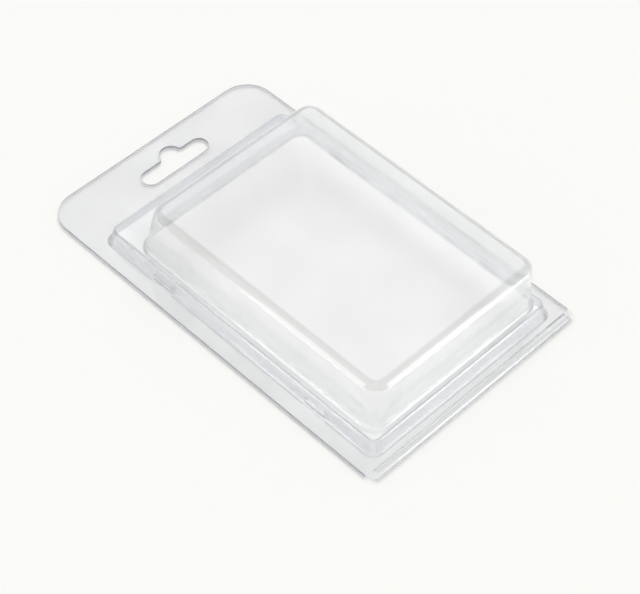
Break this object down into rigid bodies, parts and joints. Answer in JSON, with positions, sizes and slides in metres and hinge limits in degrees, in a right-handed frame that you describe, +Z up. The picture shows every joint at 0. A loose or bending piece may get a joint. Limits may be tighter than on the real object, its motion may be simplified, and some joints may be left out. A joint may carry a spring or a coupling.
{
  "type": "plastic clamshell pack",
  "caption": "Clear thermoformed clamshell pack, hinged along one short edge, with a deep blister on a low plinth and a hanging tab.",
  "frame": {"origin": "centre of the closed pack's underside, on the surface it lies on", "axes": "+X along the hinge edge, +Y from the hinge to the hanging tab, +Z up through the blister"},
  "size_m": [0.102, 0.1672, 0.0288],
  "materials": {
    "clear_sheet": "clear, smooth and glossy thermoformed sheet"
  },
  "bodies": {
    "back": {"back_half": "clear_sheet"},
    "front": {"front_half": "clear_sheet"}
  },
  "joints": [
    {"name": "living_hinge", "type": "hinge", "parent": "back", "child": "front", "pos_m": [0, -0.0836, 0.00055], "axis": [1, 0, 0], "range_deg": [0, 180]}
  ]
}
